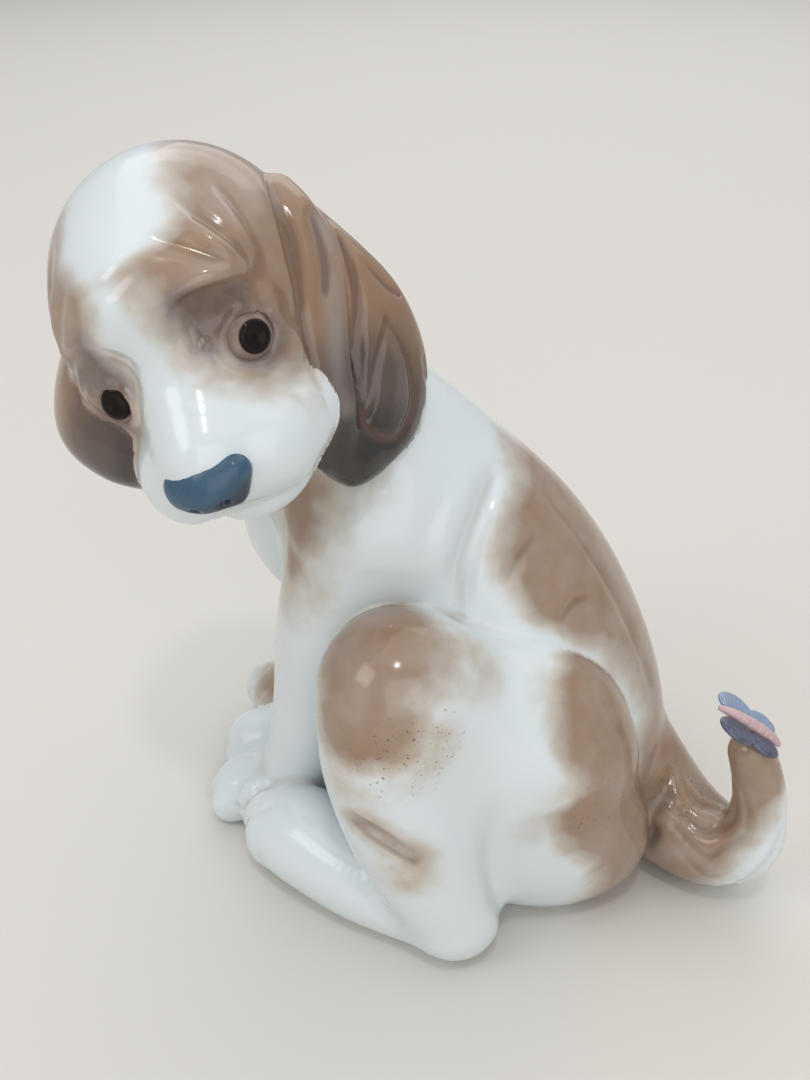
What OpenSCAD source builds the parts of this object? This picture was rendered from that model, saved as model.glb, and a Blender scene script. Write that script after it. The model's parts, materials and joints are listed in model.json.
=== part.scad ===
// Sitting porcelain puppy, slip cast in separate moulds and luted together before firing.
// Frame: +Z up, z = 0 is the table, -X is the way the chest faces, -Y is the puppy's left side.

/* [Figure] */
// Size of the whole figure against the sizes below
figure_scale = 1; // [0.9:0.01:1.1]
// Thickness of the cast wall of the torso and the head
wall = 3.2; // [2.6:0.1:3.8]
// Diameter of the firing vent in the base
vent_d = 6; // [4:0.5:8]

/* [Head] */
// Radius of the round skull
skull_r = 21.5; // [20:0.25:23]
// Place of the middle of the skull
head_at = [-60.5, -19, 122];
// Turn of the face from the chest's direction towards the puppy's left
head_turn = 102; // [92:1:110]
// Nod of the face towards the table
head_nod = 24; // [15:1:30]
// Lean of the crown to the puppy's right
head_lean = 30; // [24:1:36]
// Radius of the eyeballs
eye_r = 3.8; // [3.5:0.1:4.2]

/* [Body] */
// Half width of the rump
rump_w = 28.5; // [27:0.25:30]
// Radius of the knee of a hind leg
knee_r = 12.5; // [11.5:0.25:13.5]
// Radius of the tail at its root
tail_r = 12; // [11:0.25:13]

/* [Butterfly] */
// Thickness of the wing petals
wing_t = 1.2; // [1:0.1:1.6]
// Length of a forewing
forewing_l = 7; // [6:0.25:8]
// Slope of the butterfly's body on the tail tip
butterfly_dip = 32; // [24:1:40]
// Angle that the wings rise from flat
wing_rise = 10; // [6:1:20]

/* [Hidden] */
white = [0.86, 0.88, 0.88];
brown = [0.64, 0.53, 0.46];
slate = [0.28, 0.36, 0.46];
pupil = [0.05, 0.04, 0.04];
wing_blue = [0.46, 0.54, 0.65];
wing_pink = [0.80, 0.68, 0.68];
cut = 200;          // side of the block that trims the base flat
dip = 3;            // how far the forms run on below the table before they are trimmed
vent_x = 10;        // the vent lies behind the middle of the base

// Each row of a limb is [x, y, z, half width, half depth] of one oval section along its length.
torso_rows = [[-1, 0, -dip, 23, 23], [-1, 0, 2, rump_w - 2, 26.5], [-1, 0, 12, rump_w, 29],
    [-2, 0, 28, rump_w, 29], [-6, 0, 45, rump_w - 2, 27], [-12.5, 0, 60, 24.5, 24.5],
    [-22, -1, 73, 22.5, 22], [-31.5, -3, 85, 20, 19], [-41, -7, 95.5, 17, 16],
    [-48, -12, 105, 15, 14], [-54, -16, 115, 14, 13]];
foreleg_left_rows = [[-33, -15, 76, 12, 14], [-38, -16, 56, 10.5, 12], [-43, -12, 36, 8.5, 9.5],
    [-47, -9, 20, 7.5, 8.5], [-52, -8, 9, 7.5, 8], [-62, -8, 6, 7.5, 7]];
foreleg_right_rows = [[-33, 14, 76, 12, 14], [-41, 15, 56, 10.5, 12], [-47, 12, 36, 8.5, 9.5],
    [-51, 10, 20, 7.5, 8.5], [-55, 9, 9, 7.5, 8], [-65, 8, 6, 7.5, 7]];
thigh_left_rows = [[-6, -20, 36, 20, 19], [-16, -27, 48, 16, 16], [-24, -34, 57, knee_r, knee_r]];
shin_left_rows = [[-24.5, -35, 56, knee_r, knee_r], [-25, -37.5, 44, 12, 13],
    [-20, -39, 26, 11, 12], [-13, -40, 10, 8.5, 9]];
foot_left_rows = [[-13, -39, 7, 8.5, 7.5], [-30, -33, 8.5, 9.5, 8.5], [-42, -26, 10, 10.5, 9.5],
    [-49, -22, 9.5, 10, 9]];
thigh_right_rows = [[-6, 20, 36, 20, 19], [-17, 27, 46, 16, 16], [-27, 33, 54, knee_r, knee_r]];
shin_right_rows = [[-27.5, 34, 53, knee_r, knee_r], [-28, 37, 41, 12, 13],
    [-23, 39, 25, 11, 12], [-17, 40, 10, 8.5, 9]];
foot_right_rows = [[-17, 39, 7, 8.5, 7.5], [-36, 34, 8.5, 9.5, 8.5], [-51, 27, 10, 10.5, 9.5],
    [-59, 22, 9.5, 10, 9]];
neck_bore_rows = [[-54, -16, 115, 9, 9], [-61, -20, 123, 8, 8]];
floor_row = [-1, 0, 8, 21, 22];     // where the hollow of the torso starts, above its base
tail_rows = [[18, -1, 20, tail_r, tail_r], [28, -10, 12, 10.5, 10.5], [36, -16, 10, 9, 9.2],
    [42.5, -20, 14, 7, 7.2], [44, -20.5, 22, 5.6, 5.8], [42.5, -20.5, 31, 4.8, 4.8],
    [40.5, -20.5, 37, 4.3, 4.3]];
muzzle_rows = [[0, 0, -4, 19, 17], [12, 0, -7, 16, 14], [21, 0, -9, 14.5, 12.5],
    [27, 0, -10, 12, 11]];
ear_left_rows = [[-45, -9, 132, 5, 3.5], [-40, -12, 127, 8, 4.5], [-35, -16, 117, 11, 5.5],
    [-32, -20, 107, 11, 6], [-32.5, -26, 98.5, 8, 5]];
ear_right_rows = [[-72, -11, 122, 5, 3.5], [-74, -17, 116, 8, 4.5], [-72, -24, 108, 10, 5],
    [-66, -29, 102, 9.5, 5], [-58, -32, 97, 6, 4]];
tail_tip = [39, -20.5, 42.5];       // middle of the butterfly, on the tip of the tail
haunch_at = [-6, 23, 33];
haunch_size = [26, 17, 27];
eye_at = [17, 11.5, -2.5];          // in the head's own frame, mirrored for the right eye
nose_at = [36, 0, -8];              // in the head's own frame
forewing_x = -3;                    // where the forewings leave the butterfly's body
hindwing_x = 2.6;                   // where the hindwings leave it
forewing_w = 6;
hindwing_w = 4.6;
hindwing_l = forewing_l - 1.5;

// Points of a smooth curve through the rows, with steps points between each two of them.
function row_at(rows, i) = rows[max(0, min(len(rows) - 1, i))];
function blend(a, b, c, d, t) = 0.5 * (2 * b + (c - a) * t
    + (2 * a - 5 * b + 4 * c - d) * t * t + (3 * b - a - 3 * c + d) * t * t * t);
function smooth(rows, steps) = [
    for (i = [0:len(rows) - 2])
        for (k = [0:steps - 1])
            blend(row_at(rows, i - 1), rows[i], rows[i + 1], row_at(rows, i + 2), k / steps),
    rows[len(rows) - 1]];
function place(row) = [row[0], row[1], row[2]];
function unit(v) = v / norm(v);
function heading(rows, i) = unit(place(row_at(rows, i + 1)) - place(row_at(rows, i - 1)));

// One oval ring around a row, its half width across and its half depth square to that.
function ring(row, along, side, sides, shrink, push) =
    let (across = unit(side - along * (side * along)), deep = cross(along, across))
    [for (k = [0:sides - 1]) place(row) + along * push
        + across * (row[3] * shrink * cos(360 * k / sides))
        + deep * (row[4] * shrink * sin(360 * k / sides))];

// A limb: oval rings along the smooth curve, closed by a round end at each end.
module limb(rows, side, sides = 20, steps = 3, domes = 3, thinner = 0) {
    fine = [for (row = smooth(rows, steps)) row - [0, 0, 0, thinner, thinner]];
    last = len(fine) - 1;
    rings = concat(
        [for (k = [0:domes - 1]) let (a = 90 * (k + 0.35) / domes)
            ring(fine[0], heading(fine, 0), side, sides, sin(a), -fine[0][4] * cos(a))],
        [for (i = [0:last]) ring(fine[i], heading(fine, i), side, sides, 1, 0)],
        [for (k = [domes - 1:-1:0]) let (a = 90 * (k + 0.35) / domes)
            ring(fine[last], heading(fine, last), side, sides, sin(a), fine[last][4] * cos(a))]);
    count = len(rings);
    points = [for (r = rings) for (p = r) p];
    walls = [for (r = [0:count - 2]) for (k = [0:sides - 1])
        let (n = (k + 1) % sides, a = r * sides, b = a + sides)
        each [[a + k, b + k, b + n], [a + k, b + n, a + n]]];
    ends = [[for (k = [0:sides - 1]) k], [for (k = [sides - 1:-1:0]) (count - 1) * sides + k]];
    polyhedron(points, concat(walls, ends));
}

module oval(size, fn = 36) {
    scale(size) sphere(r = 1, $fn = fn);
}

// Moves a shape from the head's own frame (x to the nose, z to the crown) onto the body.
module on_head() {
    translate(head_at) rotate([head_lean, head_nod, head_turn - 180]) children();
}

// One closed casting of the forms inside it, at the figure's size.
module casting() {
    resize([0, 0, 0]) scale(figure_scale) children();
}

module torso_form() {
    limb(torso_rows, [0, 1, 0], sides = 30, steps = 2, domes = 2);
}

// The hollow of the torso follows its rows one wall further in, and opens through the neck.
module torso_hollow() {
    lining = [for (row = torso_rows) if (row[2] > 20 && row[2] < 112) row - [0, 0, 0, wall, wall]];
    limb(concat([floor_row], lining, neck_bore_rows), [0, 1, 0], sides = 20, steps = 1, domes = 2);
}

// The form of the head is also its lining, with fewer facets and one wall thinner.
module head_form(thinner = 0) {
    on_head() {
        oval([skull_r + 1 - thinner, skull_r - thinner, skull_r - thinner], thinner > 0 ? 24 : 36);
        limb(muzzle_rows, [0, 1, 0], sides = thinner > 0 ? 16 : 28, steps = thinner > 0 ? 1 : 2,
            domes = thinner > 0 ? 2 : 4, thinner = thinner);
    }
}

module jowl_form(hand) {
    on_head() translate([22, hand * 6, -13]) oval([11, 9, 9], 24);
}

module eye_form(hand) {
    on_head() translate([eye_at[0], hand * eye_at[1], eye_at[2]]) sphere(r = eye_r, $fn = 32);
}

module nose_form() {
    on_head() translate(nose_at) oval([4, 6.5, 4.5], 20);
}

module haunch(hand, thinner = 0) {
    translate([haunch_at[0], hand * haunch_at[1], haunch_at[2]])
        oval(haunch_size - [thinner, thinner, thinner], thinner > 0 ? 20 : 32);
}

module hind_leg_form(hand, thigh_rows, shin_rows, foot_rows) {
    haunch(hand);
    limb(thigh_rows, [0, 1, 0], sides = 24, steps = 2);
    limb(shin_rows, [0, 1, 0], sides = 24, steps = 2);
    limb(foot_rows, [0, 1, 0], sides = 20, steps = 2);
}

// The hollow that casting leaves in the haunch and the thigh, open where they meet the torso.
module haunch_hollow(hand, thigh_rows) {
    haunch(hand, wall);
    limb(thigh_rows, [0, 1, 0], sides = 12, steps = 1, domes = 2, thinner = wall);
}

// Everything lower than the given height.
module below(height) {
    translate([-cut / 2, -cut / 2, height - cut]) cube([cut, cut, cut]);
}

module torso() {
    color(white) difference() {
        casting() difference() {
            torso_form();
            torso_hollow();
            below(0);
        }
        scale(figure_scale) translate([vent_x, 0, -1]) cylinder(d = vent_d, h = wall + 8, $fn = 32);
    }
}

module head() {
    color(white) casting() difference() {
        union() {
            head_form();
            jowl_form(1);
            jowl_form(-1);
        }
        head_form(wall);
        torso_form();
        eye_form(1);
        eye_form(-1);
        nose_form();
    }
}

module ear(rows) {
    color(brown) casting() difference() {
        limb(rows, [1, -0.2, 0]);
        head_form();
        torso_form();
    }
}

module eye(hand) {
    color(pupil) scale(figure_scale) eye_form(hand);
}

module nose() {
    color(slate) casting() nose_form();
}

module foreleg_left() {
    color(white) casting() difference() {
        limb(foreleg_left_rows, [0, 1, 0]);
        torso_form();
        hind_leg_form(-1, thigh_left_rows, shin_left_rows, foot_left_rows);
        below(0);
    }
}

module foreleg_right() {
    color(white) casting() difference() {
        limb(foreleg_right_rows, [0, 1, 0]);
        torso_form();
        hind_leg_form(1, thigh_right_rows, shin_right_rows, foot_right_rows);
        limb(foreleg_left_rows, [0, 1, 0]);
        below(0);
    }
}

module hind_leg(hand, thigh_rows, shin_rows, foot_rows) {
    color(white) casting() difference() {
        hind_leg_form(hand, thigh_rows, shin_rows, foot_rows);
        haunch_hollow(hand, thigh_rows);
        torso_form();
        below(0);
    }
}

module hind_leg_left() {
    hind_leg(-1, thigh_left_rows, shin_left_rows, foot_left_rows);
}

module hind_leg_right() {
    hind_leg(1, thigh_right_rows, shin_right_rows, foot_right_rows);
}

module tail() {
    color(brown) casting() difference() {
        limb(tail_rows, [0.5, 0.8, 0]);
        torso_form();
        haunch(-1);
        haunch(1);
        below(0);
    }
}

// Moves a shape from the butterfly's own frame (x to its tail end, z up) onto the tip of the tail.
module on_tail() {
    translate(tail_tip) rotate([0, butterfly_dip, 0]) children();
}

module butterfly_body() {
    color(wing_pink) casting() difference() {
        on_tail() oval([6.6, 1.4, 1.6], 16);
        limb(tail_rows, [0.5, 0.8, 0]);
    }
}

// A wing petal: a rounded outline that spreads out from the butterfly's body.
module wing(hand, along, length, width) {
    color(wing_blue) scale(figure_scale)
        on_tail()
        translate([along, hand * 1.6, 1.2])
        rotate([hand * wing_rise, 0, 0])
        linear_extrude(height = wing_t)
        hull() {
            translate([0, hand * 0.8]) circle(d = 1.6, $fn = 24);
            translate([along * 0.25, hand * (length - width / 2)]) circle(d = width, $fn = 40);
        }
}

torso();
head();
ear(ear_left_rows);  // ear_left
ear(ear_right_rows);  // ear_right
eye(1);  // eye_left
eye(-1);  // eye_right
nose();
foreleg_left();
foreleg_right();
hind_leg_left();
hind_leg_right();
tail();
butterfly_body();
wing(-1, forewing_x, forewing_l, forewing_w);  // forewing_left
wing(1, forewing_x, forewing_l, forewing_w);  // forewing_right
wing(-1, hindwing_x, hindwing_l, hindwing_w);  // hindwing_left
wing(1, hindwing_x, hindwing_l, hindwing_w);  // hindwing_right
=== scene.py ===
"""Glazed porcelain puppy with a butterfly on its tail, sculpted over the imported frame.

The clay is a signed distance grid in millimetres. Each casting is a group of rounded forms, the groups are
joined with soft fillets, creases are pressed in, and the one surface is parted again into its pieces.
"""
import json
import math

import bpy
import numpy as np
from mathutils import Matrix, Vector


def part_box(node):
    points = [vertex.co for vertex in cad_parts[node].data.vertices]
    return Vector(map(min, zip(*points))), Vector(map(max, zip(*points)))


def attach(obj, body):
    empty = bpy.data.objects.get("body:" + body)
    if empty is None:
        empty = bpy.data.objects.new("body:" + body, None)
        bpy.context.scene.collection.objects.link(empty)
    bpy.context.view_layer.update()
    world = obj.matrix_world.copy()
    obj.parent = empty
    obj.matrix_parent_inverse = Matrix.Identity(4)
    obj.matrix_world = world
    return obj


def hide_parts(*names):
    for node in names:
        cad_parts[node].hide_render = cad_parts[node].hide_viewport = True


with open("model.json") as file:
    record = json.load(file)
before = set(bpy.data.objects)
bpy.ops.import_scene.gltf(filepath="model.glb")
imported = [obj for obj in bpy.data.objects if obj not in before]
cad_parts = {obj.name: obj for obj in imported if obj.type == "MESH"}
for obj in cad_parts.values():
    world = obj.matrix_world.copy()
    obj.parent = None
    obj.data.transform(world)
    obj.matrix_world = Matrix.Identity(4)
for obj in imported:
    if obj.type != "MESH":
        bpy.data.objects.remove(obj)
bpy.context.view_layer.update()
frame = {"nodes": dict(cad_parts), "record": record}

MM = 0.001
STEP = 0.5  # spacing of the clay grid, in mm
MARGIN = 3.0  # clay round the castings, in mm
FAR = 12.0  # the distance field stops here, in mm
DESIGN_HEIGHT = 143.6  # the height that the offsets below were chosen for
SEAT = np.array(frame["record"]["mounts"][0]["pos_m"]) * 1000
BOXES = np.array([[list(corner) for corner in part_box(n)] for n in frame["nodes"]]) * 1000
LOW, HIGH = BOXES[:, 0].min(0), BOXES[:, 1].max(0)
UNIT = (HIGH[2] - LOW[2]) / DESIGN_HEIGHT
GRID_LOW = LOW - MARGIN - [0, 0, 2]
GRID_HIGH = HIGH + MARGIN + [0, 0, 2]


def unit(v):
    return v / np.linalg.norm(v)


def middle(node):
    """Middle of a casting's box, in mm."""
    lo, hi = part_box(node)
    return np.array(lo + hi) * 500


def seat(*offset):
    """A point at an offset in mm from the frame's origin, the middle of the flat base."""
    return SEAT + np.array(offset, float) * UNIT


# ---------- the head's own frame, from its eyes and nose
EYE_AT = np.array([17.0, 11.5, -2.5])  # left eye: forward, left and up from the middle of the skull
NOSE_AT = np.array([36.0, 0.0, -8.0])


def head_frame():
    """The head's forward, left and up directions as rows, and the middle of its skull."""
    left_eye, right_eye, nose = middle("eye_left"), middle("eye_right"), middle("nose")
    between = (left_eye + right_eye) / 2
    left = unit(left_eye - right_eye)
    bridge = unit(nose - between)
    lift = math.atan2(EYE_AT[2] - NOSE_AT[2], NOSE_AT[0] - EYE_AT[0])
    up_of_bridge = np.cross(bridge, left)
    forward = bridge * math.cos(lift) + up_of_bridge * math.sin(lift)
    axes = np.array([forward, left, np.cross(forward, left)])
    return axes, between - (EYE_AT * [1, 0, 1]) @ axes


HEAD_AXES, SKULL = head_frame()


def on_head(forward, left, up):
    """A point at an offset in mm from the middle of the skull, in the head's own directions."""
    return SKULL + np.array([forward, left, up], float) @ HEAD_AXES


# ---------- the clay
class Clay:
    """A window of the grid: where it starts and stops, and the distance field over it."""

    def __init__(self, lo, hi, step=STEP):
        self.step = step
        self.start = np.floor((np.array(lo) - GRID_LOW) / step).astype(int)
        self.stop = np.ceil((np.array(hi) - GRID_LOW) / step).astype(int) + 1
        self.field = np.full(self.stop - self.start, FAR, np.float32)

    def part(self, lo, hi):
        """The slices of this window that cover a box, and the coordinates there."""
        a = np.maximum(np.floor((np.array(lo) - GRID_LOW) / self.step).astype(int), self.start)
        b = np.minimum(np.ceil((np.array(hi) - GRID_LOW) / self.step).astype(int) + 1, self.stop)
        b = np.maximum(b, a)
        cut = tuple(slice(a[i] - self.start[i], b[i] - self.start[i]) for i in range(3))
        axes = [(GRID_LOW[i] + np.arange(a[i], b[i]) * self.step).astype(np.float32) for i in range(3)]
        return cut, axes[0][:, None, None], axes[1][None, :, None], axes[2][None, None, :]


def soft_min(a, b, k):
    """Union of two distances with a fillet of about k mm."""
    if k <= 0:
        return np.minimum(a, b)
    h = np.maximum(k - np.abs(a - b), 0) / k
    return np.minimum(a, b) - h * h * (k / 4)


def ball(clay, centre, radii, k=2.0, axes=None, hollow=False):
    """Adds an ellipsoid whose own axes are the rows of axes, or digs it out. k is the fillet."""
    axes = np.eye(3) if axes is None else axes
    radii = np.array(radii, float) * UNIT
    reach = k + 2 * STEP + 1
    cut, x, y, z = clay.part(centre - max(radii) - reach, centre + max(radii) + reach)
    if min(clay.field[cut].shape) == 0:
        return
    near, far = 0.0, 0.0
    for axis, radius in zip(axes, radii):
        q = axis[0] * (x - centre[0]) + axis[1] * (y - centre[1]) + axis[2] * (z - centre[2])
        near = near + np.square(q / radius)
        far = far + np.square(q / radius ** 2)
    near = np.sqrt(near)
    field = (near * (near - 1) / np.sqrt(far + 1e-9)).astype(np.float32)
    sign = -1 if hollow else 1
    clay.field[cut] = sign * soft_min(sign * clay.field[cut], field, k)


def spline(rows, steps):
    """Points of a smooth curve through the rows."""
    rows = np.array(rows, float)
    ends = np.vstack([rows[:1], rows, rows[-1:]])
    out = []
    for i in range(len(rows) - 1):
        a, b, c, d = ends[i:i + 4]
        for t in np.arange(steps) / steps:
            out.append(0.5 * (2 * b + (c - a) * t + (2 * a - 5 * b + 4 * c - d) * t * t
                              + (3 * b - a - 3 * c + d) * t ** 3))
    out.append(rows[-1])
    return np.array(out)


def from_segment(a, b, x, y, z):
    """Where the nearest point of a segment is, from 0 at a to 1 at b, and the offset from it."""
    along = b - a
    p = [x - a[0], y - a[1], z - a[2]]
    t = np.clip((p[0] * along[0] + p[1] * along[1] + p[2] * along[2]) / (along @ along + 1e-9), 0, 1)
    return t, [p[i] - t * along[i] for i in range(3)]


def limb(clay, points, sizes, flat=None, k=2.0, steps=4, hollow=False):
    """Adds a limb along points, or digs it out, with a fillet of k mm.

    sizes are its radii, or its (half width, half thickness) where flat is the direction it is thin in."""
    points = np.array(points, float)
    sizes = np.array(sizes, float) * UNIT
    if sizes.ndim == 1:
        sizes = np.stack([sizes, sizes], 1)
    fine = spline(np.hstack([points, sizes]), steps)
    lo = (fine[:, :3] - fine[:, 3:4]).min(0)
    hi = (fine[:, :3] + fine[:, 3:4]).max(0)
    form = Clay(lo - FAR / 2, hi + FAR / 2, clay.step)
    for a, b in zip(fine[:-1], fine[1:]):
        wide = max(a[3], b[3]) + FAR / 2
        cut, x, y, z = form.part(np.minimum(a[:3], b[:3]) - wide, np.maximum(a[:3], b[:3]) + wide)
        if min(form.field[cut].shape) == 0:
            continue
        t, off = from_segment(a[:3], b[:3], x, y, z)
        width = a[3] + t * (b[3] - a[3])
        length = off[0] ** 2 + off[1] ** 2 + off[2] ** 2
        if flat is None:
            field = np.sqrt(length) - width
        else:
            thick = a[4] + t * (b[4] - a[4])
            thin = unit(np.array(flat, float))
            deep = np.square(off[0] * thin[0] + off[1] * thin[1] + off[2] * thin[2])
            rest = np.maximum(length - deep, 0)
            near = np.sqrt(rest / width ** 2 + deep / thick ** 2)
            far = np.sqrt(rest / width ** 4 + deep / thick ** 4)
            field = near * (near - 1) / (far + 1e-6)
        form.field[cut] = np.minimum(form.field[cut], field.astype(np.float32))
    join(clay, form, k, hollow)


def overlap(a, b):
    """The slices of two windows that cover the same cells."""
    lo, hi = np.maximum(a.start, b.start), np.minimum(a.stop, b.stop)
    hi = np.maximum(hi, lo)
    return (tuple(slice(lo[i] - a.start[i], hi[i] - a.start[i]) for i in range(3)),
            tuple(slice(lo[i] - b.start[i], hi[i] - b.start[i]) for i in range(3)))


def join(clay, other, k, hollow=False):
    """Adds another window of clay to this one, or digs it out."""
    mine, theirs = overlap(clay, other)
    sign = -1 if hollow else 1
    clay.field[mine] = sign * soft_min(sign * clay.field[mine], other.field[theirs], k)


# ---------- reading the clay
def slices_along(axis, low, high):
    """Slices for two parts of a grid that lie apart along an axis."""
    return [tuple(part if i == axis else slice(None) for i in range(3)) for part in (low, high)]


def sample(clay, points):
    """The field at points, interpolated. It is FAR outside the window."""
    q = (points - GRID_LOW) / clay.step - clay.start
    top = np.array(clay.field.shape) - 1.001
    inside = ((q >= 0) & (q <= top)).all(1)
    q = np.clip(q, 0, top)
    i = q.astype(int)
    f = q - i
    out = np.zeros(len(points))
    for dx in (0, 1):
        for dy in (0, 1):
            for dz in (0, 1):
                w = (f[:, 0] if dx else 1 - f[:, 0]) * (f[:, 1] if dy else 1 - f[:, 1]) \
                    * (f[:, 2] if dz else 1 - f[:, 2])
                out += w * clay.field[i[:, 0] + dx, i[:, 1] + dy, i[:, 2] + dz]
    return np.where(inside, out, FAR)


def slope(clay, points):
    """Gradient of the field at points."""
    g = np.zeros((len(points), 3))
    for i in range(3):
        d = np.zeros(3)
        d[i] = clay.step
        g[:, i] = (sample(clay, points + d) - sample(clay, points - d)) / (2 * clay.step)
    return g


def facing(clay, points):
    """The direction straight out of the surface at points."""
    g = slope(clay, points)
    return g / np.maximum(np.linalg.norm(g, axis=1), 1e-6)[:, None]


def settle(clay, points, rounds=6):
    """Moves points straight onto the clay's surface."""
    points = np.array(points, float)
    for _ in range(rounds):
        g = slope(clay, points)
        size = np.maximum((g * g).sum(1), 0.05)
        points = points - g * (np.clip(sample(clay, points), -3, 3) / size)[:, None]
    return points


def press(clay, points, width, depth, taper=True):
    """Presses a groove into the surface along a smooth line, or raises a ridge if depth is below 0.

    The line is laid onto the surface first. It fades out at both ends if taper is set."""
    line = settle(clay, spline(points, 6))
    fade = np.sin(np.pi * np.linspace(0.04, 0.96, len(line))) ** 0.6 if taper else np.ones(len(line))
    wide = 3 * width
    mark = Clay(line.min(0) - wide, line.max(0) + wide, clay.step)
    mark.field[:] = 0
    for a, b, fade_a, fade_b in zip(line[:-1], line[1:], fade[:-1], fade[1:]):
        cut, x, y, z = mark.part(np.minimum(a, b) - wide, np.maximum(a, b) + wide)
        t, off = from_segment(a, b, x, y, z)
        strength = (fade_a + t * (fade_b - fade_a)) * np.exp(-sum(np.square(q) for q in off) / width ** 2)
        mark.field[cut] = np.maximum(mark.field[cut], strength)
    mine, theirs = overlap(clay, mark)
    clay.field[mine] += depth * UNIT * mark.field[theirs]


def carve_list(clay, place, lines, strength=1):
    """Presses lines given as (width, depth, points), with points in the frame of place."""
    for width, depth, points in lines:
        press(clay, [place(*p) for p in points], width, depth * strength)


# ---------- the castings as groups of forms
def limb_of_rows(clay, rows, steps):
    """A limb through rows of x, y, z from the seat and a radius."""
    limb(clay, [seat(*r[:3]) for r in rows], [r[3] for r in rows], k=0, steps=steps)


def torso():
    """Rump, belly, back and neck in one limb, with shoulders and breast."""
    clay = Clay(LOW - MARGIN, HIGH + MARGIN)
    rows = [(-1, 0, -6, 25), (-1, 0, 2, 26.5), (-1, 0, 12, 28.5), (-2, 0, 28, 28.5), (-6, 0, 45, 26.5),
            (-12.5, 0, 60, 24), (-22, -1, 73, 21.5), (-31.5, -3, 85, 19), (-41, -7, 95.5, 16.5),
            (-48, -12, 105, 14.5), (-54, -16, 115, 13.5)]
    limb_of_rows(clay, rows, 8)
    for side in (-1, 1):
        ball(clay, seat(-29, 14 * side, 79), (13, 10.5, 15), 6)  # shoulder
    breast = [seat(-38, 2, 90), seat(-46, 4, 76), seat(-48.5, 5, 66), seat(-44, 6, 52)]
    limb(clay, breast, [9, 11.5, 11, 7], k=14, steps=8)
    return clay


def head():
    """Skull, brows, cheeks, muzzle, lips and chin."""
    clay = Clay(SKULL - 46, SKULL + 46)
    h = on_head
    ax = HEAD_AXES
    for at, radii, k in (
            ((-1, 0, 0.3), (21.8, 21, 20.6), 0), ((9, 0.6, 5), (13.5, 15.4, 13), 6),  # skull and forehead
            ((13.5, 0, 12.5), (6.5, 6.5, 5), 4),  # bump between the brows
            ((11, 10, 9), (6.5, 6.5, 4), 4), ((9, -8.5, 8.5), (6.2, 6.5, 4), 4),  # brows
            ((8, 13, -9), (12, 5.2, 10), 6), ((9, -13.5, -4), (11, 7.3, 11), 5),  # cheeks
            ((18, 12, -15.5), (9, 6, 7), 4), ((18, -12, -15.5), (9, 6, 7), 4)):  # jowls
        ball(clay, h(*at), radii, k, ax)
    limb(clay, [h(8, 0, -9), h(20, 0, -9), h(28, 0, -10)], [12.5, 11.5, 9.5], k=5)
    for s in (1, -1):
        ball(clay, h(25, 7.3 * s, -13.5), (10, 8.3, 8.4), 4, ax)  # upper lip
    limb(clay, [h(14, 0, 0), h(24, 0, -3), h(32, 0, -6)], [5.5, 4.5, 4], k=5)
    ball(clay, h(24.5, 1, -20.8), (9, 10, 4.4), 1, ax)  # chin
    ball(clay, h(8, 0, -16), (14, 12, 8), 5, ax)  # throat
    return clay


def ear_left():
    """The near ear: a wide flap behind, and a thicker roll along its front edge."""
    h = on_head
    clay = Clay(h(5, 18, -15) - 34, h(5, 18, -15) + 34)
    flat = unit(np.array([0.45, 0.85, 0.2])) @ HEAD_AXES
    behind = [h(-7, 19.5, -4), h(-1, 23, -12), h(3.5, 24.2, -19), h(8, 23, -25.5), h(13.5, 20.5, -29),
              h(20.5, 16, -29.5)]
    limb(clay, behind, [(4, 2.6), (5.5, 2.8), (7.3, 3), (8.4, 3), (7.6, 3), (5, 2.6)], flat, k=0, steps=12)
    front = [h(-7.5, 18.8, 1), h(-3, 20.3, -0.8), h(2, 20.6, -4.5), h(9, 18.8, -8.5), h(15, 16.8, -13),
             h(20, 15, -18.5), h(23, 13.5, -23.5), h(24, 13.5, -28)]
    wide = [(4, 2.8), (4.8, 3), (5.4, 3), (5.6, 3), (5.6, 3), (5.6, 3), (5.4, 2.8), (4, 2.6)]
    limb(clay, front, wide, flat, k=2.5, steps=12)
    return clay


def ear_right():
    """The far ear, one flap that hangs behind the cheek."""
    c = middle("ear_right") + [-1.1, 2.8, -1.0]
    clay = Clay(c - 32, c + 32)
    flap = [c + o for o in ([-5, 11, 14], [-7, 5, 9.5], [-5.5, -2, 2.5], [1.5, -7, -3.5], [10, -9, -8.5])]
    limb(clay, flap, [(5, 3), (9, 3.5), (10.6, 4), (8.8, 4), (4.6, 3)], (-0.7, -0.3, 0.6), k=0, steps=12)
    return clay


def foreleg(y, reach):
    """A foreleg with its paw; y is -1 for the left one. Its toes are reach mm further forward."""
    clay = Clay(seat(-90, -45, -6), seat(0, 45, 100))
    rows = [(-33, 15 * y, 76, 13), (-38, 16 * y, 56, 11.5), (-43, 12.5 * y, 36, 9), (-47, 9.5 * y, 20, 8),
            (-51, 8.5 * y, 10, 8)]
    limb_of_rows(clay, rows, 12)
    paw = [seat(-50, 8.5 * y, 7), seat(-58, 8 * y, 6.5), seat(-61 - reach, 8 * y, 6)]
    limb(clay, paw, [8, 7.5, 7], k=3, steps=8)
    for toe in (-4.5, 0, 4.5):
        ball(clay, seat(-65 - reach + abs(toe) * 0.3, 8 * y + toe, 4.6), (4, 2.7, 4.2), 1.2)
    return clay


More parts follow.
